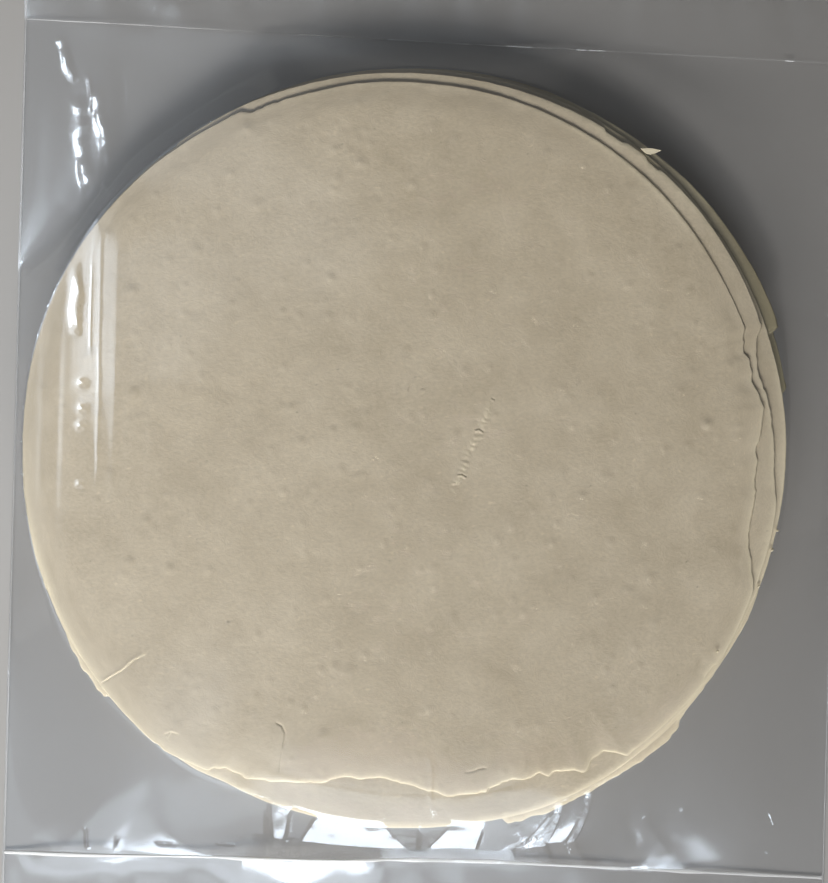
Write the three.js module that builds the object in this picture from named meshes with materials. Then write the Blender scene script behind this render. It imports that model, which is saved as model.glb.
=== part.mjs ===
// A stack of raw papadums in a flat, clear film pouch. The papadums are thin pale discs of dried
// dough, a little out of round, stacked slightly askew, and some have pieces broken off the rim.
// The pouch is two films welded along their edges, with a flap beyond the weld at each end.
// Millimetres and degrees, +Z up. The origin is the middle of the pouch's underside. +Y runs along
// the pouch towards one flap, and angles turn from +X towards +Y about the middle of the stack.
import * as THREE from "three";

// Papadums
const PAPADUM_RADIUS = 89;
const PAPADUM_THICKNESS = 0.6;
const LAYER_GAP = 0.3;
const STACK_CENTRE = new THREE.Vector2(-4.9, 0.5);
const BEND_RING = 0.6;
const RIM_LIFT = 1;
const LIFT_ANGLE = 15;
const EVEN_COLUMNS = 72;

// Hidden papadums at the bottom of the stack, each turned and shifted a little from the last
const HIDDEN_COUNT = 5;
const HIDDEN_SHIFT = 1.1;
const HIDDEN_TURN = 137.5;
const HIDDEN_OVAL = 0.5;

// Pouch
const POUCH_WIDTH = 200;
const POCKET_LENGTH = 200;
const FLAP_LENGTH = 12;
const FILM_THICKNESS = 0.4;
const FILM_CLEARANCE = 0.8;
const FILM_REACH = 8;

// Looks
const PAPADUM_COLOUR = 0xcdbf9f;
const FILM_COLOUR = 0xe8e8e6;

// Papadums whose rims show, from the top of the stack down. Each wave is its order round the rim,
// its height and the angle of a crest: order 1 shifts the disc, and the rest put it out of round.
// Each break is a run of angles with the depth of rim missing there, negative where rim stands out.
const SHOWN = [
  {
    waves: [[0, -0.5, 0], [1, 2.4, 220.5], [2, 0.75, 149.5], [3, 0.4, 100], [4, 0.6, 59]],
    breaks: [
      [[233, 0], [236.8, 1], [240.2, 1.9], [240.6, 3.2], [242.2, 4.5], [245, 4.7], [245.6, 4.1],
        [249.7, 6.1], [255.8, 8], [258, 8.4], [260.3, 10.6], [267.4, 11.2], [272.9, 9.6], [278.7, 5.9],
        [280.2, 6.1], [285.1, 5.3], [285.5, 6.1], [289.4, 6.3], [291.8, 5.5], [294.3, 5.5], [295.3, 4.4],
        [296.5, 4.6], [299.7, 2.9], [300.4, 1.8], [301.3, 1.7], [302.5, 3.2], [304.8, 4], [306.4, 2.1],
        [307.4, 0]],
      [[339.5, 0], [341.5, 1.2], [344.5, 3.2], [347.5, 4.4], [351.5, 4.2], [361.5, 3.5], [364.5, 2.3],
        [368, 0.7], [370.5, 1.1], [372.5, 2.1], [376, 1.5], [377.5, 1.8], [379.5, 0.9], [381, 0]],
      [[100, 0], [116, 0.8], [117.2, -0.3], [122, 0]],
    ],
  },
  {
    waves: [[0, 0.9, 0], [1, 0.75, 235], [3, 0.2, 60], [4, 0.4, 35]],
    breaks: [
      [[354, 0], [357.5, 1.2], [367.5, 2], [373.5, 3.4], [376.5, 3.1], [379, 1.9], [380.5, 0]],
      [[238, 0], [243, 0.8], [262, 0.6], [280, 0.8], [292, 0]],
    ],
  },
  {
    waves: [[0, 0.4, 0], [1, 1.2, 47.5], [2, 0.3, 150]],
    breaks: [],
  },
  {
    waves: [[0, 0.7, 0], [1, 3.6, 6.5], [4, 0.3, 19]],
    breaks: [[[300, 0], [322, 0.9], [340, 3.1], [360, 3.4], [377, 4.6], [378.5, 4.4], [379.5, 0]]],
  },
  {
    waves: [[0, 0.7, 0], [1, 2.5, 15], [2, 0.4, 70]],
    breaks: [[[335, 0], [350, 1.8], [369, 2.2], [370.5, 0]]],
  },
  {
    waves: [[1, 1.6, 206], [3, 0.3, 40]],
    breaks: [[[185, 0], [195, -0.8], [207.5, -2.2], [212, -3.6], [221, -3.8], [222, -1.2], [226, 0]]],
  },
  {
    waves: [[1, 2, 303], [2, 0.3, 20]],
    breaks: [[[286, 0], [287, -2.8], [302, -2.8], [316, -3.3], [317, -1.6], [330, 0]]],
  },
];

function radians(degrees) {
  return THREE.MathUtils.degToRad(degrees);
}

// Cosine of a number of degrees
function cosine(degrees) {
  return Math.cos(radians(degrees));
}

// Angle from 0 to 360 of a point about the middle of the stack
function angleOf(x, y) {
  return THREE.MathUtils.euclideanModulo(THREE.MathUtils.radToDeg(Math.atan2(y, x)), 360);
}

// A papadum that no rim shows of: nearly round, placed by its layer number
function hiddenPapadum(layer) {
  const turn = layer * HIDDEN_TURN;
  return { waves: [[1, HIDDEN_SHIFT, turn], [2, HIDDEN_OVAL, turn / 2]], breaks: [] };
}

// Every papadum, from the bottom of the stack up
function allPapadums() {
  const hidden = Array.from({ length: HIDDEN_COUNT }, (_, layer) => hiddenPapadum(layer));
  return [...hidden, ...SHOWN.toReversed()];
}

// Depth missing from a rim at an angle, read along the straight runs between a break's points
function depthAt(points, angle) {
  const first = points[0][0];
  const turned = angle < first ? angle + 360 : angle;
  for (let i = 1; i < points.length; i++) {
    const [fromAngle, fromDepth] = points[i - 1];
    const [toAngle, toDepth] = points[i];
    if (turned >= fromAngle && turned <= toAngle) {
      const share = (turned - fromAngle) / (toAngle - fromAngle);
      return THREE.MathUtils.lerp(fromDepth, toDepth, share);
    }
  }
  return 0;
}

// Distance from the middle of the stack to a papadum's rim
function rimRadius(papadum, angle) {
  let radius = PAPADUM_RADIUS;
  for (const [order, height, crest] of papadum.waves) {
    radius += height * cosine(order * (angle - crest));
  }
  for (const points of papadum.breaks) {
    radius -= depthAt(points, angle);
  }
  return radius;
}

// Height that a layer's surface rises above flat: nothing at the bottom, most at the top's lifted side
function liftAt(radius, angle, layerShare) {
  const side = 0.5 + 0.5 * cosine(angle - LIFT_ANGLE);
  return RIM_LIFT * layerShare * side * (radius / PAPADUM_RADIUS) ** 3;
}

// Turn from one angle to another the short way, from 0 to 180
function turnBetween(one, other) {
  return 180 - Math.abs(THREE.MathUtils.euclideanModulo(one - other, 360) - 180);
}

// Angles at which a turned solid has corners: the exact ones, and even steps where none is near
function cornerAngles(exact) {
  const step = 360 / EVEN_COLUMNS;
  const even = Array.from({ length: EVEN_COLUMNS }, (_, i) => (i + 0.5) * step);
  const clear = even.filter((angle) => exact.every((other) => turnBetween(angle, other) > step / 3));
  return [...clear, ...exact].sort((a, b) => a - b);
}

// A closed solid turned about +Z, with its own section, a list of radius and height, at every angle
function turnedSolid(angles, section) {
  const profile = section(angles[0]).map(([radius, height]) => new THREE.Vector2(radius, height));
  const geometry = new THREE.LatheGeometry(profile, angles.length);
  const position = geometry.getAttribute("position");
  for (let column = 0; column <= angles.length; column++) {
    const angle = angles[column % angles.length];
    section(angle).forEach(([radius, height], step) => {
      const x = radius * Math.cos(radians(angle));
      const y = radius * Math.sin(radians(angle));
      position.setXYZ(column * profile.length + step, x, y, height);
    });
  }
  geometry.computeVertexNormals();
  return geometry;
}

// A thin slab out to the papadum's rim, bent up towards it by its share of the stack's lift
function papadumGeometry(papadum, layerShare) {
  const breakAngles = papadum.breaks.flat().map(([angle]) => angle % 360);

  function section(angle) {
    const rim = rimRadius(papadum, angle);
    const rings = [0, rim * BEND_RING, rim].map((radius) => [radius, liftAt(radius, angle, layerShare)]);
    const upper = rings.map(([radius, height]) => [radius, height + PAPADUM_THICKNESS]);
    return [...rings, ...upper.reverse()];
  }

  return turnedSolid(cornerAngles(breakAngles), section);
}

function named(name, geometry, material) {
  const mesh = new THREE.Mesh(geometry, material);
  mesh.name = name;
  return mesh;
}

// The stack, each papadum resting just clear of the one below
function papadumStack(papadums) {
  const material = new THREE.MeshStandardMaterial({ color: PAPADUM_COLOUR, roughness: 0.8, metalness: 0 });
  const stack = new THREE.Group();
  papadums.forEach((papadum, layer) => {
    const layerShare = layer / (papadums.length - 1);
    const name = `papadum_${String(layer + 1).padStart(2, "0")}`;
    const mesh = named(name, papadumGeometry(papadum, layerShare), material);
    mesh.position.z = layer * (PAPADUM_THICKNESS + LAYER_GAP);
    stack.add(mesh);
  });
  stack.position.set(STACK_CENTRE.x, STACK_CENTRE.y, FILM_THICKNESS + LAYER_GAP);
  return stack;
}

// Furthest that any rim stands out near an angle, with room for the film round it
function shoulderRadius(papadums, angle) {
  let furthest = 0;
  for (let near = angle - FILM_REACH; near <= angle + FILM_REACH; near++) {
    const turned = THREE.MathUtils.euclideanModulo(near, 360);
    furthest = Math.max(furthest, ...papadums.map((papadum) => rimRadius(papadum, turned)));
  }
  return furthest + FILM_CLEARANCE;
}

// Distance from the middle of the stack, along an angle, to the sides of a rectangle about the origin
function rectangleRadius(angle, halfWidth, halfLength) {
  const across = Math.cos(radians(angle));
  const along = Math.sin(radians(angle));
  const toSide = (Math.sign(across) * halfWidth - STACK_CENTRE.x) / across;
  const toEnd = (Math.sign(along) * halfLength - STACK_CENTRE.y) / along;
  return Math.min(toSide, toEnd);
}

// Upper film: level over the stack, down from its shoulder to the weld, then flat out to the edges
function upperFilmGeometry(papadums) {
  const pocket = [POUCH_WIDTH / 2 - FILM_THICKNESS, POCKET_LENGTH / 2];
  const pouch = [POUCH_WIDTH / 2, POCKET_LENGTH / 2 + FLAP_LENGTH];
  const weldZ = FILM_THICKNESS + LAYER_GAP;
  const stackZ = weldZ + papadums.length * (PAPADUM_THICKNESS + LAYER_GAP);
  const corners = [pocket, pouch].flatMap(([halfWidth, halfLength]) => (
    [[1, 1], [-1, 1], [-1, -1], [1, -1]].map(([side, end]) => (
      angleOf(side * halfWidth - STACK_CENTRE.x, end * halfLength - STACK_CENTRE.y)
    ))
  ));

  // Along the film's underside to its edge, and back along its top
  function section(angle) {
    const shoulder = shoulderRadius(papadums, angle);
    const weld = rectangleRadius(angle, ...pocket);
    const edge = rectangleRadius(angle, ...pouch);
    const level = (radius) => stackZ + liftAt(radius, angle, 1);
    return [
      [0, level(0)],
      [shoulder * BEND_RING, level(shoulder * BEND_RING)],
      [shoulder, level(shoulder)],
      [weld - FILM_THICKNESS, weldZ],
      [edge, weldZ],
      [edge, weldZ + FILM_THICKNESS],
      [weld, weldZ + FILM_THICKNESS],
      [shoulder + FILM_THICKNESS, level(shoulder) + FILM_THICKNESS],
      [shoulder * BEND_RING, level(shoulder * BEND_RING) + FILM_THICKNESS],
      [0, level(0) + FILM_THICKNESS],
    ];
  }

  return turnedSolid(cornerAngles(corners), section);
}

function pouchFilms(papadums) {
  const material = new THREE.MeshStandardMaterial({
    color: FILM_COLOUR, roughness: 0.15, metalness: 0, transparent: true, opacity: 0.3,
  });
  const pouch = new THREE.Group();
  const flat = new THREE.BoxGeometry(POUCH_WIDTH, POCKET_LENGTH + 2 * FLAP_LENGTH, FILM_THICKNESS);
  const lower = named("film_lower", flat, material);
  lower.position.z = FILM_THICKNESS / 2;
  const upper = named("film_upper", upperFilmGeometry(papadums), material);
  upper.position.set(STACK_CENTRE.x, STACK_CENTRE.y, 0);
  pouch.add(lower, upper);
  return pouch;
}

const papadums = allPapadums();
const pack = new THREE.Group();
pack.add(pouchFilms(papadums), papadumStack(papadums));

export default pack;
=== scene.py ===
# A stack of raw papadums in a flat, clear film pouch, lying on a pale table and seen from above.
# Metres, +Z up. The origin is the middle of the pouch's underside. Angles turn from +X towards +Y
# about the middle of the stack, and places on the stack are measured from that middle.
import math

import bpy
import numpy as np
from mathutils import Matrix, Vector
from mathutils.geometry import delaunay_2d_cdt


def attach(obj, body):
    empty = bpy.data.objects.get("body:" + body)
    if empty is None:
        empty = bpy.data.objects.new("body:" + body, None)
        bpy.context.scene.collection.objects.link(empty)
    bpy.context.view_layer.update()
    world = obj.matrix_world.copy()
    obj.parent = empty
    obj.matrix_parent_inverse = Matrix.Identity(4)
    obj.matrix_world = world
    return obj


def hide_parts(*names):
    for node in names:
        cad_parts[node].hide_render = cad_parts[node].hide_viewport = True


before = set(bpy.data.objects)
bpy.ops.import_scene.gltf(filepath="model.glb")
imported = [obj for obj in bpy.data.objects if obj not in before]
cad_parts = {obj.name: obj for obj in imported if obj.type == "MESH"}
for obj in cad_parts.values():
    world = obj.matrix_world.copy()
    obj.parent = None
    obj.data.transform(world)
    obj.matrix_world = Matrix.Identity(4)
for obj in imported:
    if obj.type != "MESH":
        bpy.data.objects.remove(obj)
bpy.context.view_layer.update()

MM = 0.001
TURN = 2 * math.pi

# Side of the lattice that noise comes from, the seeds of a papadum's rim and dough for each step in its
# number, and how close together two points of a plan are one
LATTICE_SIZE = 256
RIM_SEED = 10
DOUGH_SEED = 100
CLOSE = 1e-7

# Papadums. A packed corner past this share of the radius is on the rim, and a papadum bends towards its
# rim by this power of the distance from its middle.
PAPADUM_COUNT = 12
STACK_MIDDLE = np.array([-4.9, 0.5]) * MM
THICKNESS = 0.6 * MM
RIM_SHARE = 0.75
BEND_POWER = 3

# How a rim strays from its packed outline, everywhere and where it is broken: length and depth
EDGE_STRAYS = ((9 * MM, 0.12 * MM), (1.4 * MM, 0.05 * MM))
BREAK_STRAYS = ((2.6 * MM, 0.32 * MM), (0.9 * MM, 0.16 * MM))

# How a rim is rounded: its bevels, the share of its depth at which it reaches furthest, and what is
# added to that share where it is broken
EDGE_BEVEL = 0.2 * MM
BREAK_BEVEL = 0.4 * MM
LOWER_BEVEL = 0.1 * MM
CREST_DEPTH = 0.3
BREAK_CREST_DEPTH = 0.4

# How far the upper faces come down to the rims at each turn, and over what width
RIM_DROOP = (
    np.radians([0, 17, 26, 36, 46, 58, 75, 150, 190, 235, 255, 300, 315, 340, 360]),
    np.array([0.42, 0.5, 0.5, 0.25, 0.08, 0.08, 0.42, 0.42, 0.5, 0.5, 0.2, 0.2, 0.35, 0.4, 0.42]) * MM,
)
DROOP_WIDTH = 3.5 * MM

# How far in from the rims the dough is painted paler as a glow where light strikes them, how much at each
# turn (most where the rims face the light, least where they are shaded), and how pale the undersides are
PAINTED_GLOW_WIDTH = 0.9 * MM
PAINTED_GLOW_TURNS = (
    np.radians([0, 12, 17, 34, 42, 58, 72, 130, 145, 182, 195, 335, 360]),
    (0.8, 0.6, 0.15, 0.15, 0.9, 0.9, 0.1, 0.1, 0.25, 0.3, 1, 1, 0.8),
)
UNDER_PALENESS = 0.6

# How far a rim sags towards the papadum below, and over what width
RIM_SAG = {12: 0.3 * MM, 11: 0.04 * MM}
SAG_WIDTH = 8 * MM

# Turns over which the rims below the second papadum get painted shade, darkened and tinted olive where the
# papadums above shade them, and how much: the third papadum's, and those below it
PAINTED_SHADE_BELOW = 11
THIRD_PAINTED_SHADE = np.radians([0, 20, 32, 72, 95, 360]), (0, 0.14, 0.68, 0.65, 0, 0)
LOWER_PAINTED_SHADE = np.radians([0, 5, 9, 30, 42, 72, 95, 360]), (0, 0.3, 1, 1, 0.7, 0.65, 0, 0)

# Runs of degrees where rim is broken off, for each papadum counted from the bottom, and the degrees
# over which a break begins and ends
BREAKS = {
    12: [(240, 308), (339, 381), (112, 118)],
    11: [(354, 381)],
    9: [(322, 380)],
    8: [(345, 371)],
    7: [(205, 226)],
    6: [(285, 318)],
}
BREAK_FADE = 1.5

# Small notches in the rims: start and end in degrees, and depth in millimetres, and the degrees over
# which a notch begins and ends
NOTCHES = {
    12: [(324, 327, 0.5), (231.2, 232.6, 0.3)],
    11: [(55.5, 59.4, 0.55), (48.8, 51.7, 0.5), (128, 131, 0.35), (137, 139.5, 0.4)],
    10: [(62, 64, 0.4), (36, 38, 0.3)],
    7: [(203, 225.4, 0.9)],
}
NOTCH_FADE = 0.35

# Mesh of the dough: spacing of points along the rim, in a band near the rim and further in, for the top
# papadum, those whose rims show and those below, the lowest whose rim shows, the width of the band, and
# the spacing on the undersides
TOP_SPACING = (0.4 * MM, 0.64 * MM, 0.64 * MM)
SHOWN_SPACING = (0.6 * MM, 1.2 * MM, 5 * MM)
HIDDEN_SPACING = (1.2 * MM, 3 * MM, 8 * MM)
SHOWN_FROM = 6
RIM_BAND = 14 * MM
UNDER_SPACING = 8 * MM

# Least distance of points from the rim, as a share of their spacing: on a lattice, and along cracks
LATTICE_ROOM = 0.6
CRACK_ROOM = 0.3

# Relief of the dough: size and height of swells, lumps and grain, and of pimples, of which some are pits
SWELL = (11 * MM, 0.06 * MM)
LUMP = (3.2 * MM, 0.04 * MM)
GRAIN = (1.3 * MM, 0.014 * MM)
GRAIN_STRETCH = 1.3
PIMPLE_COUNT = 420
PIMPLE_REACH = 88 * MM
PIMPLE_WIDTH = (0.6 * MM, 1.1 * MM)
PIMPLE_HEIGHT = (0.05 * MM, 0.17 * MM)
PIMPLE_SIGNS = [-0.6, 1, 1]

# Blisters that stand out on the top papadum: place, width and height in millimetres
BLISTERS = [
    (-74.2, 20.4, 1.3, 0.22), (-65.0, 35.5, 1.2, 0.22), (-63.9, 11.5, 1.5, 0.24), (-64.2, -28.5, 1.3, 0.26),
    (-54.5, -29.7, 1.2, 0.22), (-17.4, 63.1, 1.2, 0.2), (-12.1, 67.0, 1.0, 0.2), (-36.1, 56.7, 1.5, 0.16),
    (-51.7, -66.8, 1.4, 0.2), (-17.3, -67.8, 1.4, 0.22), (-6.0, -67.0, 1.0, 0.14), (28.3, -64.2, 1.1, 0.16),
    (-50.4, 45.3, 1.3, 0.16), (55.9, -68.2, 1.2, 0.18), (52.4, 46.8, 1.0, 0.12), (-11.3, -52.3, 1.2, 0.18),
    (-38.0, -46.0, 1.2, 0.12), (-43.2, -19.4, 1.1, 0.1), (7.4, -47.2, 1.1, 0.1), (39.4, 30.8, 1.0, 0.1),
]

# Cracks in the top papadum: path in millimetres, half-width, depth, height of the raised lip to the
# left, and how pale the dough is along it
CRACKS = [
    ([(-70.5, -57.6), (-68.2, -55.9), (-65, -53.9), (-62.6, -51.6), (-59.7, -50)], 0.21, 0.15, 0.14, 0.85),
    ([(-28.8, -64.9), (-27, -66), (-26.2, -67.6), (-26.3, -69.2), (-26.8, -71.6)], 0.24, 0.26, -0.06, 0),
    ([(-26.8, -71.6), (-27.2, -74.5), (-27.4, -77.5)], 0.18, 0.07, 0, 0),
    ([(16.1, -75.8), (18.2, -75.5), (19.6, -74.8), (21.7, -74.5)], 0.25, 0.16, -0.05, 0),
    ([(18.8, 4.5), (17.6, 5.3), (16.3, 4.9)], 0.22, 0.1, 0.2, 0),
    ([(15.1, -6.2), (13.8, -5.5), (12.5, -5.6)], 0.22, 0.12, 0.2, 0),
    ([(21.2, 12.2), (20.2, 12.6)], 0.2, 0.08, 0.12, 0),
    ([(0.6, 13.6), (1.3, 15.2)], 0.24, 0.16, 0.1, 0),
    ([(4.2, 14.6), (3.6, 14.2)], 0.2, 0.1, 0.1, 0),
    ([(-54.7, -68.6), (-53.2, -68.1), (-51.4, -68.5)], 0.22, 0.05, 0.08, 0.6),
    ([(-53.9, -69.6), (-53.2, -68.4)], 0.2, 0.04, 0.06, 0.5),
]

# Shares of a crack's length between which it is deepest, its lip's place and width and the rows of points
# along it in half-widths, and the step between these points
CRACK_ENDS = (0.15, 0.8)
LIP_PLACE = 1.6
LIP_WIDTH = 1.3
CRACK_ROWS = np.array([-2.5, -1.5, -0.75, 0, 0.75, 1.5, 2.5])
CRACK_STEP = 0.3 * MM

# Chain of small crossways wrinkles on the top papadum: its path, and the wrinkles' length, width, height
# and ridge, in millimetres. They bow, stray from even steps by some size and radians, and leave gaps
# where a noise is low.
WRINKLE_PATH = [(21.0, 13.0), (19.3, 8.5), (17.8, 4.7), (15.5, -0.3), (13.6, -5.3), (11.4, -10.2)]
WRINKLE_LENGTH = 1.4
WRINKLE_WIDTH = 1.0
WRINKLE_HEIGHT = 0.045
WRINKLE_RIDGE = 0.14
WRINKLE_PALENESS = 0.35
WRINKLE_BOW = 0.4
WRINKLE_STRAY = (1.1 * MM, 3.6)
WRINKLE_PATCH = 1.6 * MM
WRINKLE_GAPS = (-0.9, 0.3)
WRINKLE_ENDS = (0.05, 0.95)
WRINKLE_ROWS = np.arange(-2.4, 2.5, 0.3) * MM
WRINKLE_STEP = 0.22 * MM
WRINKLE_SEED = 76

# Film: half its width and length, its height over the table, over the stack and at the welds, the
# spacing of its points and their room to its edge. The spacing is less in fine patches, which are given
# by two corners each in millimetres, and more on the lower film. Creases past an angle stay sharp.
FILM_HALF = np.array([100, 112]) * MM
FILM_REST = 0.06 * MM
FILM_GAP = 0.42 * MM
WELD_REST = 0.35 * MM
FILM_SPACING = 1.5 * MM
FINE_SPACING = 0.75 * MM
LOWER_SPACING = 3 * MM
BORDER_ROOM = 0.45 * MM
LOWER_BORDER_ROOM = 0.75 * MM
FINE_PATCHES = [((-70, -101), (80, -82)), ((-96, -15), (-72, 101))]
CREASE_ANGLE = math.radians(14)

# Shoulder, where the film leaves the stack: its columns round the stack, how many of them even it out
# to each side, its room beyond the rims, how far out it comes for each step down, its rounding, and the
# rows of points beside it
FILM_COLUMNS = 720
SHOULDER_REACH = 8
SHOULDER_ROOM = 0.2 * MM
SHOULDER_FALL = 0.27
SHOULDER_ROUND = 0.5 * MM
SHOULDER_ROWS = np.array([-2.2, -1.4, -0.9, -0.5, -0.2, 0.1, 0.4, 0.8, 1.4, 2.2]) * MM

# How hollow the film's fall from the stack is: the power for each distance to the weld, and what it is
# multiplied by at each turn. Its shape is carried on inside the stack, back to a share of the way to the
# weld. The lower film comes up to the weld by a power of its own.
DRAPE_POWERS = ((5 * MM, 14 * MM, 30 * MM, 45 * MM), (1, 1, 1.5, 1.7))
DRAPE_TURNS = np.radians([0, 110, 128, 146, 157, 360]), (1, 1, 5, 5, 1, 1)
DRAPE_BACK = -0.5
LOWER_POWER = 3

# Welds across the pouch: distance from the middle at the left side, the middle and the right side
TOP_WELD = ((-100 * MM, 0, 100 * MM), (102.6 * MM, 99.4 * MM, 96.8 * MM))
LOW_WELD = ((-100 * MM, 18 * MM, 100 * MM), (-100.1 * MM, -99.1 * MM, -101.2 * MM))
SIDE_WELD = 99.6 * MM
CORNER_ROUND = 24 * MM

# Rounds in which the place where a line from the middle meets a slanting weld is found
WELD_ROUNDS = 4

# Height of the welds: the top one's, and the low one's from place to place in millimetres. Both fade
# towards the sides, over this width, and along them, between these distances from the middle.
TOP_WELD_HEIGHT = 0.9 * MM
LOW_WELD_RISE = [
    (-100, 0.4), (-96, 1.6), (-90, 2.6), (-84, 2.1), (-74, 1.65), (-66, 1.5), (-58, 1.3), (-49, 1.3),
    (-44, 1.9), (-42, 2.3), (-26, 2.8), (-12, 2.3), (-7, 1.1), (10, 1.0), (30, 1.1), (60, 0.9), (100, 0.4),
]
WELD_FADE_ACROSS = 25 * MM
WELD_FADE_ALONG = (60 * MM, 95 * MM)

# Pleats along the low end, where the film falls from the stack to a knee. Each pleat is a line from
# the stack's rim to the knee: its place across the pouch at both in millimetres, and how steep the
# film is on it. The knee is at the first share of the way from the stack to the weld, and places at the
# rim are taken at the second share of the way from the stack's middle to the weld.
KNEE_SHARE = 0.54
PLEAT_RIM_SHARE = 0.9
LOW_PLEATS = [
    (-58, -58, 0.42), (-46, -46, 0.5), (-38.5, -38.5, 0.48), (-37.3, -36.5, 0.42), (-36, -35.2, 0.24),
    (-31, -33, 0.24), (-30, -32, 0.5), (-24.3, -28.8, 0.48), (-23.3, -28.1, 0.33), (-8, -1.9, 0.33),
    (-7.2, -1, 0.07), (0.6, 0.6, 0.07), (1.3, 1.3, 0.2), (2, 2, 0.07), (8.6, 2.8, 0.07), (9.6, 3.8, 0.32),
    (16.6, 15.4, 0.33), (17.4, 16.2, 0.2), (22, 20, 0.18), (24, 22, 0.14), (35.4, 24.6, 0.18),
    (36.4, 25.4, 0.3), (37.6, 27.4, 0.3), (38.2, 28.6, 0.235), (38.6, 33.4, 0.235), (39.4, 34.4, 0.5),
    (46, 38.6, 0.42), (46.9, 39.3, 0.3), (48.4, 41.3, 0.3), (49.4, 42.5, 0.5), (55, 52, 0.5), (60, 58, 0.5),
    (64, 63.5, 0.42), (75, 75, 0.5),
]

# How far the shoulder is drawn in at the pleats, the size and height of their crumpling, the share of
# the way to the weld over which that begins, the degrees over which the pleats begin and end, and the
# points along a pleat, on to the weld and along the knee
PLEAT_INSET = 1.2 * MM
PLEAT_CRUMPLE = (2.2 * MM, 0.06 * MM)
PLEAT_START = 0.2
PLEAT_FADE = (10.5, 10)
PLEAT_POINTS = 24
PLEAT_END_POINTS = 8
KNEE_POINTS = 240
PLEAT_SEED = 511

# Folds that stand up from the film: path in millimetres about the origin, height, width to each side,
# how crumpled the crest is, and the share of its length over which it rises
FOLDS = [
    ([(-91.3, 98.6), (-89, 91.7), (-87, 87.6)], 0.42, 1.5, 1.7, 0.5, 0.12),
    ([(-86.7, 84.5), (-85.6, 76), (-84.6, 69), (-82.6, 58)], 0.33, 2.6, 2.6, 0.5, 0.12),
    ([(-83.8, 90), (-83.1, 79.5)], 0.19, 0.7, 1.0, 0.15, 0.12),
    ([(-81.4, 87.5), (-80.5, 79), (-79.4, 71), (-77.8, 58)], 0.4, 2.6, 2.6, 0.5, 0.12),
    ([(-82.4, 44), (-82.5, 38), (-82.4, 27), (-82.3, 24.5)], 0.52, 1.2, 2.8, 0.3, 0.55),
    ([(-79.4, 48), (-79.3, 36), (-79.2, 20)], 0.06, 0.6, 0.5, 0.05, 0.4),
    ([(-77.1, 52), (-77, 32), (-76.9, 2), (-76.8, -12)], 0.08, 0.6, 0.9, 0.1, 0.12),
    ([(3.1, -70), (3.5, -79), (3.9, -86)], 0.08, 0.9, 0.9, 0.3, 0.12),
    ([(-79.5, -92.8), (-79.3, -98.4)], 0.4, 0.7, 0.8, 0.4, 0.12),
    ([(-72.4, -94.6), (-72.3, -98)], 0.3, 0.6, 0.6, 0.4, 0.12),
    ([(-62.5, -96.3), (-57.5, -96.5)], 0.2, 0.7, 0.7, 0.3, 0.12),
    ([(-47.6, -95.8), (-42.6, -95.8)], 0.2, 0.7, 0.7, 0.3, 0.12),
    ([(-34.8, -96.2), (-30.6, -96.2)], 0.18, 0.6, 0.6, 0.3, 0.12),
    ([(85.2, -85.1), (87.2, -88.7)], 0.12, 0.35, 0.35, 0.3, 0.12),
]

# How far a fold's line wanders and how large the dents in its crest are, the share of its length from
# which it falls again, and the rows of points along it as shares of its width
FOLD_WOBBLE = (5 * MM, 1.6 * MM)
FOLD_DENT = 2.4 * MM
FOLD_END = 0.85
FOLD_STEP = 0.6 * MM
FOLD_ROWS = np.array([0.25, 0.5, 0.75, 1])
FOLD_WOBBLE_SEED = 520
FOLD_DENT_SEED = 540

# Small bumps in the film: place in millimetres, width and height, and rings of points in widths
FILM_SPOTS = [
    (-80.8, 14, 1.1, 0.3), (-80.7, 8, 1.0, 0.28), (-81, 4, 1.0, 0.24), (-80.9, -9.7, 0.9, 0.2),
    (91.3, 52.5, 0.45, 0.36), (83.4, 76.6, 0.6, 0.45), (70.2, -74.2, 0.7, 0.12), (55.0, -86.5, 0.8, 0.12),
    (64.4, -84.6, 0.9, 0.12), (86.0, -95.0, 0.6, 0.12), (-97.6, 40.8, 0.8, 0.3), (-97.2, 32.1, 0.8, 0.3),
]
SPOT_RINGS = (0, 0.35, 0.7, 1.05, 1.5, 2)
SPOT_POINTS = 12

# Fine upright ripples in the film over the left of the stack: two corners in millimetres, the widths
# over which they fade in from each, their size and height, and the spacing of points on them
RIPPLE_PATCH = ((-97, -45), (-46, 68))
RIPPLE_FADES = ((8, 40), (25, 20))
RIPPLE_WIDTH = 1.7 * MM
RIPPLE_LENGTH = 45 * MM
RIPPLE_HEIGHT = 0.045 * MM
RIPPLE_STEP = (0.45 * MM, 2.5 * MM)
RIPPLE_SEED = 570

# Slow waves in the slack film beside the stack: size and height, how much less they change along the
# pouch than across it, the width of slack film at which they are full, and the shares of the way to the
# weld over which they come and go
SLACK_WAVE = (13 * MM, 0.22 * MM)
SLACK_STRETCH = 0.6
SLACK_ROOM = 30 * MM
SLACK_START = (0.1, 0.5)
SLACK_END = (1, 0.8)
SLACK_SEED = 510

# Broad bulges where the film stands off the stack: path in millimetres, height, and width to each side,
# and the shares of the path between which a bulge is full
BULGES = [
    ([(-52, -66), (-42, -71), (-25, -76.5), (-8, -79), (10, -79), (30, -74.5), (48, -64)], 1.4, 45, 11),
    ([(-71, 64), (-71, 38), (-71, 22), (-70, -6)], 1.0, 45, 15),
    ([(-79.5, 97), (-79, 75), (-78, 46)], 0.6, 5, 9),
]
BULGE_ENDS = (0.3, 0.7)

# Flaps beyond the welds: how far they take to come down to the table from place to place, by what
# power, the height of their waves, the sizes and shares of two kinds of wave, how much less these change
# along the pouch than across it, and how far they lift the flap
FLAP_REACH = np.array([-100, -50, -42, 100]) * MM, np.array([5, 5, 10, 10]) * MM
FLAP_FALL = 1.5
FLAP_WAVE = 0.4 * MM
FLAP_WAVES = ((11 * MM, 1), (4.5 * MM, 0.7))
FLAP_STRETCH = 0.25
FLAP_LIFT = 1.2
FLAP_SEED = 501
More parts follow.
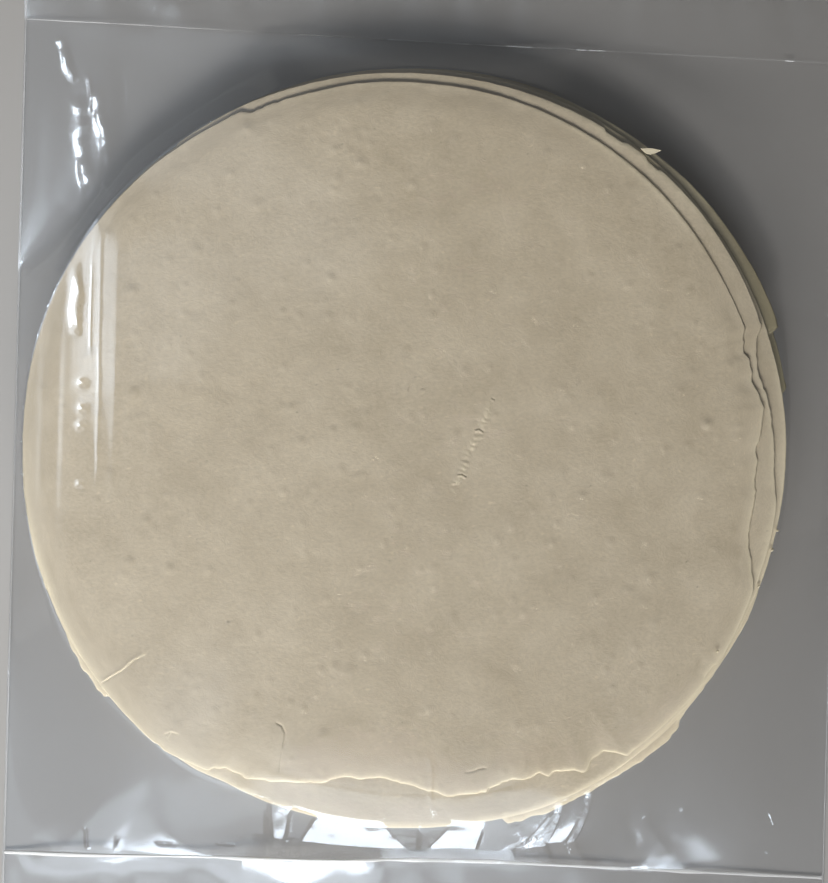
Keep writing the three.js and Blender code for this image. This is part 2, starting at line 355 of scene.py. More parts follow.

# Beads along the welds: the step between their points, how their width varies and over what length, their
# width, how milky they are from place to place in millimetres, which is partly painted glint where a bead
# catches the light, their height, how far their middle stands over the film, and their sides
BEAD_STEP = 0.5 * MM
BEAD_VARIETY = (0.8, 0.4)
BEAD_LUMP = 6 * MM
BEAD_SEED = 560
BEAD_WIDTHS = {
    "weld_top": 0.3 * MM, "weld_low": 0.95 * MM, "weld_left": 0.35 * MM, "weld_right": 0.22 * MM,
}
TOP_MILK_AND_GLINTS = [
    (-98, 0.4), (-80, 0.35), (-78, 0.1), (-74, 0.2), (-57, 0.15), (-50, 0.04), (-34, 0.04), (-32, 0.25),
    (-25, 0.2), (-22, 0.04), (-13, 0.08), (-11, 0.4), (8, 0.5), (9, 0.3), (17, 0.3), (18, 1), (23, 1),
    (24, 0.25), (29, 0.25), (30, 0.08), (34, 0.08), (34.7, 0.9), (36.4, 0.9), (37, 0.2), (37.8, 0.8),
    (41, 0.6), (42, 0.05), (85, 0.04), (85.6, 0.7), (87, 0.7), (87.5, 0.04), (100, 0.04),
]
LOW_MILK_AND_GLINT = [(-100, 0.9), (0, 0.9), (4, 0.6), (40, 0.6), (60, 0.45), (100, 0.5)]
SIDE_MILK = [(-100, 0.35), (100, 0.25)]
BEAD_HEIGHT = 0.2 * MM
BEAD_LIFT = 0.06 * MM
BEAD_SIDES = 8

# Dough: its colours where it is mottled dark and light, pale at a rim (at the rims a painted glow where
# they face the light), and the olive tint of the painted shade that multiplies it
DOUGH_DARK = (0.562, 0.473, 0.331, 1)
DOUGH_LIGHT = (0.668, 0.575, 0.423, 1)
DOUGH_PALE_AND_GLOW = (0.92, 0.82, 0.6, 1)
PAINTED_SHADE_OLIVE = (0.5, 0.5, 0.41, 1)
DOUGH_ROUGHNESS = 0.62
GRAIN_DEPTH = 0.08 * MM
GRAIN_STRENGTH = 0.6

# Dough's noises: how fine they are, their layers of detail and the weight of these, and how far they are
# stretched in plan and pressed flat upwards
MOTTLE_NOISE = (75, 4, 0.6)
GRAIN_NOISE = (1500, 3, 0.6)
SPECK_NOISE = (760, 1, 0.4)
FLECK_NOISE = (900, 1, 0.4)
LAYER_STRETCH = (1, 1, 40)
STREAK_STRETCH = (0.6, 1, 40)

# Dough's shades: the values of a noise between which it goes from one shade to another
MOTTLE_RANGE = (0.32, 0.7)
GRAIN_SHADE = (0.3, 0.7, 0.915, 1.075)
SPECK_SHADE = (0.15, 0.22, 0.62, 1.0)
FLECK_SHADE = (0.7, 0.8, 1.0, 1.16)

# Sockets of a mix of two colours
MIX_SHARE = 0
MIX_FIRST = 6
MIX_SECOND = 7
MIX_RESULT = 2

# How the film reflects: what it does face on and how fast that grows at a slant, and its faint haze
FILM_FACING = 0.085
SLANT_POWER = 5
FILM_ROUGHNESS = 0.13
FILM_TINT = (0.98, 0.98, 0.98, 1)
HAZE_SHARE = 0.035
HAZE_ROUGHNESS = 0.52

# Colours and finish of the welds, whose white also stands for painted glints, and of the table
WELD_COLOUR = (0.93, 0.94, 0.95, 1)
WELD_ROUGHNESS = 0.25
TABLE_COLOUR = (0.39, 0.375, 0.36, 1)
TABLE_ROUGHNESS = 0.5
TABLE_GLOSS = 0.5

# Camera, straight above the photograph's middle and rolled as it is
CAMERA_PLACE = (-2.59 * MM, 2.33 * MM, 341.5 * MM)
CAMERA_ROLL = math.radians(1.5)
CAMERA_LENS = 57.17
CAMERA_SENSOR = 36

# Light: two soft windows, panes that only gloss shows, and the room. Each light has its azimuth and
# elevation in degrees, distance, size and power, and whether it lights matt surfaces rather than gloss.
LIGHTS = {
    "window": (262, 33, 1.6, (2.0, 0.66), 33.6, True),
    "left_window": (268, 33, 1.6, (0.25, 0.25), 0.34, True),
    "bright_pane": (269, 38, 1.0, (0.46, 0.26), 3.8, False),
    "front_pane": (262, 46, 1.0, (0.75, 0.55), 2.4, False),
    "high_pane": (262, 71, 1.0, (0.4, 0.2), 0.3, False),
    "corner_pane": (232, 60, 1.0, (0.6, 0.4), 0.42, False),
    "low_pane": (262, 20, 1.0, (0.7, 0.245), 0.55, False),
    "small_pane": (170, 43, 1.0, (0.25, 0.28), 3.6, False),
    "right_pane": (288, 41, 1.0, (0.2, 0.22), 0.75, False),
    "left_pane": (177, 48, 1.0, (0.42, 0.46), 1.55, False),
    "left_glow": (176, 49, 1.0, (0.5, 0.68), 1.83, False),
    "veil_pane": (167, 61, 1.0, (0.25, 0.2), 0.22, False),
    "high_veil": (140, 75, 1.0, (0.22, 0.22), 0.1, False),
}

# A window whose beam is narrow: how far to the left it is aimed, and the angle it spreads over
BEAM_AIM = {"left_window": -0.2}
BEAM_SPREAD = {"left_window": math.radians(26)}

# Colours of the windows, of the panes and of the room
MATT_COLOUR = (1.0, 0.99, 0.965)
GLOSS_COLOUR = (0.87, 0.99, 1.13)
ROOM_COLOUR = (1.0, 0.98, 0.95)
ROOM_STRENGTH = 0.085

# Table: its side, and how far its top is below the pouch
TABLE_SIZE = 3
TABLE_DROP = 0.1 * MM

# Crumbs beside the rim: place in millimetres on the stack, length, width, height, and turn in degrees
CRUMBS = [
    (88.6, -17.0, 0.8, 0.6, 0.5, 10), (87.5, -21.6, 1.1, 0.7, 0.5, 60), (84.6, -30.2, 0.9, 0.6, 0.5, 40),
    (74.8, -45.6, 0.8, 0.6, 0.4, 50), (-49.3, 77.6, 0.9, 0.6, 0.4, 30),
]

# Rings of points round a crumb, as shares of its height and width, and how uneven they are
CRUMB_RINGS = ((0, 0.8), (0.45, 1.0), (0.85, 0.6))
CRUMB_SIDES = 7
CRUMB_VARIETY = (0.75, 1.15)
CRUMB_SEED = 7

# A thin flake standing out from the rim: its outline in millimetres on the stack, and its heights
FLAKE = [(53.9, 72.3), (56.4, 72.3), (58.7, 71.8), (57.4, 71.2), (56.2, 70.9), (55.2, 71.1)]
FLAKE_HEIGHTS = (10.6 * MM, 11.4 * MM)
FLAKE_THICKNESS = 0.35 * MM


def soft_noise(x, y, size, seed):
    """Smooth noise from -1 to 1 over points in the plane, with lumps about this size."""
    lattice = np.random.default_rng(seed).uniform(-1, 1, (LATTICE_SIZE, LATTICE_SIZE))
    across, along = x / size, y / size
    column, row = np.floor(across).astype(int), np.floor(along).astype(int)
    across, along = across - column, along - row
    across, along = across**2 * (3 - 2 * across), along**2 * (3 - 2 * along)

    def pick(right, up):
        return lattice[(row + up) % LATTICE_SIZE, (column + right) % LATTICE_SIZE]

    low = pick(0, 0) + (pick(1, 0) - pick(0, 0)) * across
    high = pick(0, 1) + (pick(1, 1) - pick(0, 1)) * across
    return low + (high - low) * along


def smooth_step(low, high, value):
    """Rise from 0 to 1 as a value goes from low to high."""
    share = np.clip((value - low) / (high - low), 0, 1)
    return share**2 * (3 - 2 * share)


def taper(along, ends):
    """Rise over the start of a path and fall over its end: full between two shares of its length."""
    return smooth_step(0, ends[0], along) * smooth_step(1, ends[1], along)


def polar(x, y):
    """Distance and angle of points about the middle of the stack."""
    right, up = x - STACK_MIDDLE[0], y - STACK_MIDDLE[1]
    return np.hypot(right, up), np.arctan2(up, right) % TURN


def from_polar(radius, angle):
    """Places of points given by distance and angle about the middle of the stack."""
    right, up = radius * np.cos(angle), radius * np.sin(angle)
    return np.column_stack([STACK_MIDDLE[0] + right, STACK_MIDDLE[1] + up])


def on_stack(places):
    """Places in metres of points written in millimetres from the middle of the stack."""
    return np.array(places, dtype=float) * MM + STACK_MIDDLE


def along_path(x, y, path):
    """Signed distance of points from a path, positive to its left, and how far along it they are."""
    nearest = np.full(len(x), np.inf)
    side = np.zeros(len(x))
    travelled = np.zeros(len(x))
    start = 0.0
    for (x0, y0), (x1, y1) in zip(path[:-1], path[1:]):
        length = math.hypot(x1 - x0, y1 - y0)
        along = ((x - x0) * (x1 - x0) + (y - y0) * (y1 - y0)) / length
        across = ((x1 - x0) * (y - y0) - (y1 - y0) * (x - x0)) / length
        beyond = np.maximum(np.maximum(-along, along - length), 0)
        away = np.hypot(across, beyond)
        closer = away < nearest
        nearest[closer] = away[closer]
        side[closer] = np.where(across[closer] < 0, -1, 1)
        travelled[closer] = start + np.clip(along[closer], 0, length)
        start += length
    return nearest * side, travelled / start


def path_points(path, step, offsets):
    """Points along a path at even steps, and rows of them to its sides."""
    rows = []
    for start, end in zip(path[:-1], path[1:]):
        run = end - start
        length = np.hypot(*run)
        aside = np.array([-run[1], run[0]]) / length
        share = np.arange(0, 1, step / length)[:, None]
        for offset in offsets:
            rows.append(start + run * share + aside * offset)
    return np.vstack(rows)


def lattice_points(low, high, spacing):
    """A triangular lattice of points over a rectangle."""
    rise = spacing * math.sqrt(3) / 2
    rows = np.arange(low[1], high[1], rise)
    columns = np.arange(low[0], high[0], spacing)
    x, y = np.meshgrid(columns, rows)
    x = x + np.where(np.arange(len(rows)) % 2, spacing / 2, 0)[:, None]
    return np.column_stack([x.ravel(), y.ravel()])


def fill(loop, inner):
    """Triangles over a closed loop of points and the points inside it, with the loop's points first."""
    count = len(loop)
    edges = [(i, (i + 1) % count) for i in range(count)]
    points = [Vector(p) for p in np.vstack([loop, inner])]
    made, _, triangles, _, _, _ = delaunay_2d_cdt(points, edges, [], 1, CLOSE)
    return np.array([tuple(p) for p in made]), np.array(triangles)


def band(first, second, count):
    """Faces between two closed loops of points that start at two places in a list."""
    step = np.arange(count)
    following = (step + 1) % count
    return [*zip(first + step, second + step, second + following, first + following)]


def add_mesh(name, vertices, faces, attributes):
    """A smooth mesh object on the body, with a number at each vertex for each named attribute."""
    mesh = bpy.data.meshes.new(name)
    mesh.from_pydata(vertices, [], faces)
    mesh.shade_smooth()
    for label, values in attributes.items():
        mesh.attributes.new(label, "FLOAT", "POINT").data.foreach_set("value", values)
    piece = bpy.data.objects.new(name, mesh)
    bpy.context.collection.objects.link(piece)
    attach(piece, "root")
    return piece


class Papadum:
    """One papadum as packed, with its rim and the height of its underside."""

    def __init__(self, number):
        self.number = number
        self.node = f"papadum_{number:02d}"
        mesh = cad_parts[self.node].data
        corners = np.empty(3 * len(mesh.vertices))
        mesh.vertices.foreach_get("co", corners)
        corners = corners.reshape(-1, 3)
        radius, angle = polar(corners[:, 0], corners[:, 1])
        self.middle = corners[radius < THICKNESS, 2].min()
        rim = radius > RIM_SHARE * radius.max()
        angle, radius, height = np.round(angle[rim], 5), radius[rim], corners[rim, 2]
        order = np.lexsort((height, angle))
        self.angles, lowest = np.unique(angle[order], return_index=True)
        self.radii = radius[order][lowest]
        self.rises = height[order][lowest] - self.middle

    def rim(self, angle):
        """Distance of the rim from the middle of the stack at an angle."""
        return np.interp(angle, self.angles, self.radii, period=TURN)

    def underside(self, x, y):
        """Height of the underside."""
        radius, angle = polar(x, y)
        rise = np.interp(angle, self.angles, self.rises, period=TURN)
        return self.middle + rise * (radius / self.rim(angle)) ** BEND_POWER

    def broken(self, angle):
        """How broken the rim is at an angle, from 0 to 1."""
        degrees = np.degrees(angle)
        share = np.zeros(len(angle))
        for start, end in BREAKS.get(self.number, []):
            turned = np.where(degrees < start - BREAK_FADE, degrees + 360, degrees)
            begun = smooth_step(start - BREAK_FADE, start, turned)
            unended = smooth_step(end + BREAK_FADE, end, turned)
            share = np.maximum(share, begun * unended)
        return share

    def notch_depth(self, angle):
        """How deep the rim is notched at an angle."""
        degrees = np.degrees(angle)
        depth = np.zeros(len(angle))
        for start, end, most in NOTCHES.get(self.number, []):
            begun = smooth_step(start, start + NOTCH_FADE, degrees)
            unended = smooth_step(end, end - NOTCH_FADE, degrees)
            depth += most * MM * (begun * unended)
        return depth


def outline(papadum, step):
    """Angles, radii and brokenness of a rim that is uneven, and jagged where it is broken."""
    count = round(TURN * papadum.radii.mean() / step)
    angle = np.arange(count) * TURN / count
    radius = papadum.rim(angle)
    x, y = from_polar(radius, angle).T
    seed = RIM_SEED * papadum.number
    broken = papadum.broken(angle)
    strays = [(length, depth, 1) for length, depth in EDGE_STRAYS]
    strays += [(length, depth, broken) for length, depth in BREAK_STRAYS]
    for layer, (length, depth, share) in enumerate(strays):
        radius = radius + depth * share * soft_noise(x, y, length, seed + layer)
    return angle, radius - papadum.notch_depth(angle), broken


def crack_relief(x, y):
    """Depth of the top papadum's cracks, with a raised lip to the left of each, and their paleness."""
    height = np.zeros(len(x))
    pale = np.zeros(len(x))
    for path, width, depth, lip, paleness in CRACKS:
        aside, along = along_path(x, y, on_stack(path))
        full = taper(along, CRACK_ENDS)
        share = aside / (width * MM)
        height -= depth * MM * full * np.exp(-share**2)
        height += lip * MM * full * np.exp(-((share - LIP_PLACE) / LIP_WIDTH) ** 2)
        pale = np.maximum(pale, paleness * np.exp(-share**2))
    return height, pale


def wrinkle_relief(x, y):
    """Small crossways wrinkles on an uneven ridge along a chain, and their paleness."""
    path = on_stack(WRINKLE_PATH)
    aside, along = along_path(x, y, path)
    length = np.hypot(*np.diff(path, axis=0).T).sum()
    bow = WRINKLE_BOW * (aside / (WRINKLE_WIDTH * MM)) ** 2
    stray = WRINKLE_STRAY[1] * soft_noise(x, y, WRINKLE_STRAY[0], WRINKLE_SEED)
    waves = np.sin(TURN * along * length / (WRINKLE_LENGTH * MM) + bow + stray)
    patchy = smooth_step(*WRINKLE_GAPS, soft_noise(x, y, WRINKLE_PATCH, WRINKLE_SEED + 1))
    across = np.exp(-((aside / (WRINKLE_WIDTH * MM)) ** 2))
    share = patchy * across * taper(along, WRINKLE_ENDS)
    return (WRINKLE_RIDGE + WRINKLE_HEIGHT * waves) * MM * share, WRINKLE_PALENESS * share


def bump_relief(x, y, seed):
    """Small pimples scattered over a papadum."""
    random = np.random.default_rng(seed)
    height = np.zeros(len(x))
    for _ in range(PIMPLE_COUNT):
        away = PIMPLE_REACH * math.sqrt(random.random())
        angle = TURN * random.random()
        width = random.uniform(*PIMPLE_WIDTH)
        rise = random.uniform(*PIMPLE_HEIGHT) * random.choice(PIMPLE_SIGNS)
        px, py = from_polar(away, angle)[0]
        height += rise * np.exp(-((x - px) ** 2 + (y - py) ** 2) / width**2)
    return height


def blister_relief(x, y):
    """The blisters that stand out."""
    height = np.zeros(len(x))
    for px, py, width, rise in BLISTERS:
        place = on_stack((px, py))
        away = ((x - place[0]) ** 2 + (y - place[1]) ** 2) / (width * MM) ** 2
        height += rise * MM * np.exp(-away)
    return height


def dough_relief(papadum, x, y):
    """Unevenness of a papadum's upper face."""
    seed = DOUGH_SEED * papadum.number
    height = SWELL[1] * soft_noise(x, y, SWELL[0], seed)
    height += LUMP[1] * soft_noise(x, y, LUMP[0], seed + 1)
    height += GRAIN[1] * soft_noise(x / GRAIN_STRETCH, y, GRAIN[0], seed + 2)
    if papadum.number == PAPADUM_COUNT:
        height += bump_relief(x, y, seed) + blister_relief(x, y)
        height += crack_relief(x, y)[0] + wrinkle_relief(x, y)[0]
    return height


def dough_points(papadum, loop_radius, spacing):
    """Points inside a rim: close together near it and, unless it's the top papadum, wider further in."""
    reach = loop_radius.max()
    near = lattice_points(STACK_MIDDLE - reach, STACK_MIDDLE + reach, spacing[1])
    far = lattice_points(STACK_MIDDLE - reach, STACK_MIDDLE + reach, spacing[2])
    angles = np.arange(len(loop_radius)) * TURN / len(loop_radius)

    def inset(points):
        radius, angle = polar(*points.T)
        return np.interp(angle, angles, loop_radius, period=TURN) - radius

    near_inset = inset(near)
    far_inset = inset(far)
    near = near[(near_inset > LATTICE_ROOM * spacing[1]) & (near_inset < RIM_BAND)]
    far = far[far_inset >= RIM_BAND]
    points = np.vstack([near, far])
    if papadum.number == PAPADUM_COUNT:
        for path, width, *_ in CRACKS:
            points = np.vstack([points, path_points(on_stack(path), CRACK_STEP, CRACK_ROWS * width * MM)])
        points = np.vstack([points, path_points(on_stack(WRINKLE_PATH), WRINKLE_STEP, WRINKLE_ROWS)])
        points = points[inset(points) > CRACK_ROOM * spacing[1]]
    return points


def papadum_piece(papadum, spacing, dough):
    """One papadum: an uneven upper face, a rounded rim and a plain underside."""
    angle, radius, broken = outline(papadum, spacing[0])
    bevel = EDGE_BEVEL + (BREAK_BEVEL - EDGE_BEVEL) * broken
    upper_loop = from_polar(radius - bevel, angle)
    crest_loop = from_polar(radius, angle)
    lower_loop = from_polar(radius - LOWER_BEVEL, angle)
    count = len(angle)

    upper, upper_faces = fill(upper_loop, dough_points(papadum, radius - bevel, spacing))
    away, turn = polar(*upper.T)
    inset = np.interp(turn, angle, radius, period=TURN) - away
    droop = np.interp(turn, *RIM_DROOP) * np.exp(-((inset / DROOP_WIDTH) ** 2))
    relief = dough_relief(papadum, *upper.T)
    most_sag = RIM_SAG.get(papadum.number, 0)
    base = papadum.underside(*upper.T) - most_sag * np.exp(-((inset / SAG_WIDTH) ** 2))
    upper_height = base + THICKNESS + relief - droop
    # Painted highlight: the dough is painted paler near the rims, most where they face the light; cracks
    # and wrinkles add their own paleness.
    pale = np.interp(turn, *PAINTED_GLOW_TURNS) * np.exp(-inset / PAINTED_GLOW_WIDTH)
    if papadum.number == PAPADUM_COUNT:
        pale = np.maximum.reduce([pale, crack_relief(*upper.T)[1], wrinkle_relief(*upper.T)[1]])

    under_inner = lattice_points(STACK_MIDDLE - radius.max(), STACK_MIDDLE + radius.max(), UNDER_SPACING)
    under_away, under_turn = polar(*under_inner.T)
    inside = np.interp(under_turn, angle, radius, period=TURN) - under_away > UNDER_SPACING / 2
    under, under_faces = fill(lower_loop, under_inner[inside])
    under_away, under_turn = polar(*under.T)
    under_inset = np.interp(under_turn, angle, radius, period=TURN) - under_away
    under_height = papadum.underside(*under.T) - most_sag * np.exp(-((under_inset / SAG_WIDTH) ** 2))

    crest_height = papadum.underside(*crest_loop.T) - most_sag
    crest_depth = CREST_DEPTH + BREAK_CREST_DEPTH * broken
    crest_height += (upper_height[:count] - crest_height) * (1 - crest_depth)

    vertices = np.vstack([
        np.column_stack([upper, upper_height]),
        np.column_stack([crest_loop, crest_height]),
        np.column_stack([under, under_height]),
    ])
    crest_start = len(upper)
    under_start = crest_start + count
    faces = [*map(tuple, upper_faces)]
    faces += band(0, crest_start, count)
    faces += band(crest_start, under_start, count)
    faces += [*map(tuple, under_start + under_faces[:, ::-1])]
    # The crest gets the full painted glow of its turn, and the undersides a set paleness.
    rim = np.concatenate([pale, np.interp(angle, *PAINTED_GLOW_TURNS), np.full(len(under), UNDER_PALENESS)])

    # Painted shade: the rims below the second papadum are darkened and tinted olive where the papadums
    # above shade them.
    painted_olive_shade = np.zeros(len(vertices))
    if papadum.number < PAINTED_SHADE_BELOW:
        turns = THIRD_PAINTED_SHADE if papadum.number == PAINTED_SHADE_BELOW - 1 else LOWER_PAINTED_SHADE
        painted_olive_shade = np.interp(polar(*vertices[:, :2].T)[1], *turns)
    piece = add_mesh(f"dough_{papadum.number:02d}", vertices, faces, {"rim": rim, "painted_olive_shade": painted_olive_shade})
    piece.data.materials.append(dough)
    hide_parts(papadum.node)
    return piece


class Pouch:
    """The pouch's two films, as heights over its plan."""

    def __init__(self, papadums):
        self.top = papadums[-1]
        self.angles = np.arange(FILM_COLUMNS) * TURN / FILM_COLUMNS
        rims = np.max([self.reach(papadum) for papadum in papadums], axis=0)
        turns = range(-SHOULDER_REACH, SHOULDER_REACH + 1)
        spread = np.max([np.roll(rims, turn) for turn in turns], axis=0)
        self.shoulders = np.mean([np.roll(spread, turn) for turn in turns], axis=0) + SHOULDER_ROOM
        at_rim, at_knee, self.slopes = np.array(LOW_PLEATS).T
        low_end = LOW_WELD[1][1] - STACK_MIDDLE[1]
        self.rim_turns = np.arctan2(PLEAT_RIM_SHARE * low_end, at_rim * MM - STACK_MIDDLE[0]) % TURN
        self.knee_turns = np.arctan2(low_end, at_knee * MM - STACK_MIDDLE[0]) % TURN
        self.shoulders -= PLEAT_INSET * self.pleat_weight(self.angles)

    def reach(self, papadum):
        """How far out the film has to stay level to clear a papadum's rim as it falls beyond."""
        rim = papadum.rim(self.angles) - papadum.notch_depth(self.angles)
        place = from_polar(rim, self.angles).T
        return rim - SHOULDER_FALL * (self.level(*place) - papadum.underside(*place) - THICKNESS)

    def pleat_weight(self, angle):
        """How far the film is pleated at an angle, from 0 to 1."""
        fade_in, fade_out = np.radians(PLEAT_FADE)
        first, last = self.knee_turns[0], self.knee_turns[-1]
        return smooth_step(first, first + fade_in, angle) * smooth_step(last, last - fade_out, angle)

    def pleat_turn(self, pleat, lean):
        """Angle of a pleat at a share of the way from the rim to its knee."""
        return self.rim_turns[pleat] + (self.knee_turns[pleat] - self.rim_turns[pleat]) * lean

    def steepness(self, angle, share):
        """Slope of the pleats that cross an angle at a share of the way to the weld."""
        lean = np.clip(share / KNEE_SHARE, 0, 1)
        slope = np.full(len(angle), self.slopes[0])
        for pleat in range(len(self.slopes) - 1):
            here = self.pleat_turn(pleat, lean)
            there = self.pleat_turn(pleat + 1, lean)
            between = np.clip((angle - here) / (there - here), 0, 1)
            inside = angle >= here
            low, high = self.slopes[pleat], self.slopes[pleat + 1]
            slope[inside] = (low + (high - low) * between)[inside]
        return slope

    def weld_height(self, x, y):
        """Height of the welds: uneven at the low end, and near the table at the sides."""
        places, rises = np.array(LOW_WELD_RISE).T * MM
        ends = np.where(y > 0, TOP_WELD_HEIGHT, np.interp(x, places, rises))
        inner = smooth_step(FILM_HALF[0], FILM_HALF[0] - WELD_FADE_ACROSS, np.abs(x))
        near_end = smooth_step(*WELD_FADE_ALONG, np.abs(y))
        return WELD_REST + (ends - WELD_REST) * inner * near_end

    def shoulder(self, angle):
        """Distance from the middle of the stack to where the film leaves it."""
        return np.interp(angle, self.angles, self.shoulders, period=TURN)

    def weld(self, angle):
        """Distance from the middle of the stack to the weld."""
        across, along = np.cos(angle), np.sin(angle)
        to_side = (np.sign(across) * SIDE_WELD - STACK_MIDDLE[0]) / across
        distance = to_side
        for _ in range(WELD_ROUNDS):
            x = STACK_MIDDLE[0] + distance * across
            end = np.where(along > 0, np.interp(x, *TOP_WELD), np.interp(x, *LOW_WELD))
            to_end = (end - STACK_MIDDLE[1]) / along
            distance = np.minimum(to_side, to_end)
        return smooth_lower(to_side, np.minimum(to_end, 2 * to_side), CORNER_ROUND)

    def level(self, x, y):
        """Height of the film where it lies on the stack."""
        return self.top.underside(x, y) + THICKNESS + FILM_GAP

    def drape(self, angle, share):
        """Height of the upper film at a share of the way from the stack to the weld."""
        shoulder, weld = self.shoulder(angle), self.weld(angle)
        level = self.level(*from_polar(shoulder, angle).T)
        power = np.interp(weld - shoulder, *DRAPE_POWERS) * np.interp(angle, *DRAPE_TURNS)
        rest = self.weld_height(*from_polar(weld, angle).T)
        slack = rest + (level - rest) * (1 - share) ** power
        fall = self.steepness(angle, share) * (weld - shoulder)
        to_knee = level - fall * share
        knee = level - fall * KNEE_SHARE
        from_knee = rest + (knee - rest) * (1 - share) / (1 - KNEE_SHARE)
        pleated = np.where(share < KNEE_SHARE, to_knee, from_knee)
        return slack + (pleated - slack) * self.pleat_weight(angle)

    def upper(self, x, y):
        """Height of the upper film."""
        radius, angle = polar(x, y)
        shoulder, weld = self.shoulder(angle), self.weld(angle)
        share = np.clip((radius - shoulder) / (weld - shoulder), DRAPE_BACK, 1)
        height = smooth_lower(self.level(x, y), self.drape(angle, share), SHOULDER_ROUND)
        slack = smooth_step(*SLACK_START, share) * smooth_step(*SLACK_END, share)
        pleated = self.pleat_weight(angle)
        waves = soft_noise(x, SLACK_STRETCH * y, SLACK_WAVE[0], SLACK_SEED)
        room = np.clip((weld - shoulder) / SLACK_ROOM, 0, 1)
        height += SLACK_WAVE[1] * room * waves * slack * (1 - pleated)
        crumple = PLEAT_CRUMPLE[1] * soft_noise(x, y, PLEAT_CRUMPLE[0], PLEAT_SEED)
        height += crumple * pleated * smooth_step(0, PLEAT_START, share)
        beyond = self.beyond(x, y)
        height = np.where(beyond > 0, self.flap(x, y, beyond), height)
        return height + fold_relief(x, y) + bulge_relief(x, y) + spot_relief(x, y) + ripple_relief(x, y)

    def lower(self, x, y):
        """Height of the lower film."""
        radius, angle = polar(x, y)
        shoulder, weld = self.shoulder(angle), self.weld(angle)
        share = np.clip((radius - shoulder) / (weld - shoulder), 0, 1)
        rest = self.weld_height(*from_polar(weld, angle).T)
        height = FILM_REST + (rest - 2 * FILM_REST) * share**LOWER_POWER
        beyond = self.beyond(x, y)
        return np.where(beyond > 0, self.flap(x, y, beyond) - FILM_REST, height)

    def beyond(self, x, y):
        """Distance beyond the weld at either end, negative inside the pocket."""
        return np.maximum(y - np.interp(x, *TOP_WELD), np.interp(x, *LOW_WELD) - y)

    def flap(self, x, y, beyond):
        """Height of the flaps, which come down to the table from the welds in waves."""
        share = np.clip(beyond / np.interp(x, *FLAP_REACH), 0, 1)
        waves = np.zeros(len(x))
        for kind, (size, weight) in enumerate(FLAP_WAVES):
            waves += weight * soft_noise(x, FLAP_STRETCH * y, size, FLAP_SEED + kind)
        drop = WELD_REST + (self.weld_height(x, y) - WELD_REST) * (1 - share) ** FLAP_FALL
        return drop + FLAP_WAVE * share * (FLAP_LIFT + waves)


def smooth_lower(one, other, blend):
    """The lower of two heights, rounded where they cross."""
    share = np.clip(0.5 + 0.5 * (other - one) / blend, 0, 1)
    return other + (one - other) * share - blend * share * (1 - share)


def bulge_relief(x, y):
    """Height of the broad bulges, rounded all over."""
    height = np.zeros(len(x))
    for path, rise, left, right in BULGES:
        aside, along = along_path(x, y, np.array(path) * MM)
        width = np.where(aside > 0, left, right) * MM
        height += rise * MM * taper(along, BULGE_ENDS) * smooth_step(0, 1, 1 - np.abs(aside) / width)
    return height


def fold_relief(x, y):
    """Height of the folds, each crumpled along its crest."""
    height = np.zeros(len(x))
    for number, (path, rise, left, right, crumple, start) in enumerate(FOLDS):
        wobble = FOLD_WOBBLE[1] * crumple * soft_noise(x, y, FOLD_WOBBLE[0], FOLD_WOBBLE_SEED + number)
        aside, along = along_path(x + wobble, y, np.array(path) * MM)
        width = np.where(aside > 0, left, right) * MM
        crest = 1 + crumple * soft_noise(x, y, FOLD_DENT, FOLD_DENT_SEED + number)
        full = taper(along, (start, FOLD_END))
        height += rise * MM * crest * full * smooth_step(0, 1, 1 - np.abs(aside) / width)
    return height


def spot_relief(x, y):
    """Height of the small bumps in the film."""
    height = np.zeros(len(x))
    for px, py, width, rise in FILM_SPOTS:
        away = ((x - px * MM) ** 2 + (y - py * MM) ** 2) / (width * MM) ** 2
        height += rise * MM * np.exp(-away)
    return height


def ripple_relief(x, y):
    """Height of the fine ripples, which fade out round their patch."""
    (left, low), (right, high) = np.array(RIPPLE_PATCH) * MM
    (from_left, from_low), (from_right, from_high) = np.array(RIPPLE_FADES) * MM
    inside = smooth_step(left, left + from_left, x) * smooth_step(right, right - from_right, x)
    inside *= smooth_step(low, low + from_low, y) * smooth_step(high, high - from_high, y)
    waves = soft_noise(x, y * RIPPLE_WIDTH / RIPPLE_LENGTH, RIPPLE_WIDTH, RIPPLE_SEED)
    return RIPPLE_HEIGHT * inside * waves


def fold_points():
    """Rows of points along the folds."""
    rows = []
    for path, _, left, right, *_ in FOLDS:
        offsets = np.concatenate([FOLD_ROWS * left, [0], -FOLD_ROWS * right]) * MM
        rows.append(path_points(np.array(path) * MM, FOLD_STEP, offsets))
    return rows


def pleat_points(pouch):
    """Rows of points along the pleats, on from there to the weld, and along the knee."""
    rows = []
    lean = np.linspace(0, 1, PLEAT_POINTS)
    for pleat, knee_turn in enumerate(pouch.knee_turns):
        turn = pouch.pleat_turn(pleat, lean)
        start, end = pouch.shoulder(turn), pouch.weld(turn)
        rows.append(from_polar(start + (end - start) * KNEE_SHARE * lean, turn))
        knee = start[-1] + KNEE_SHARE * (end[-1] - start[-1])
        rows.append(from_polar(np.linspace(knee, end[-1], PLEAT_END_POINTS), knee_turn))
    knees = np.linspace(pouch.knee_turns[0], pouch.knee_turns[-1], KNEE_POINTS)
    start, end = pouch.shoulder(knees), pouch.weld(knees)
    rows.append(from_polar(start + KNEE_SHARE * (end - start), knees))
    return rows


def spot_points():
    """Rings of points round the small bumps."""
    rows = []
    turns = np.arange(SPOT_POINTS) * TURN / SPOT_POINTS
    for px, py, width, _ in FILM_SPOTS:
        for ring in SPOT_RINGS:
            away = ring * width * MM
            rows.append(np.column_stack([px * MM + away * np.cos(turns), py * MM + away * np.sin(turns)]))
    return rows


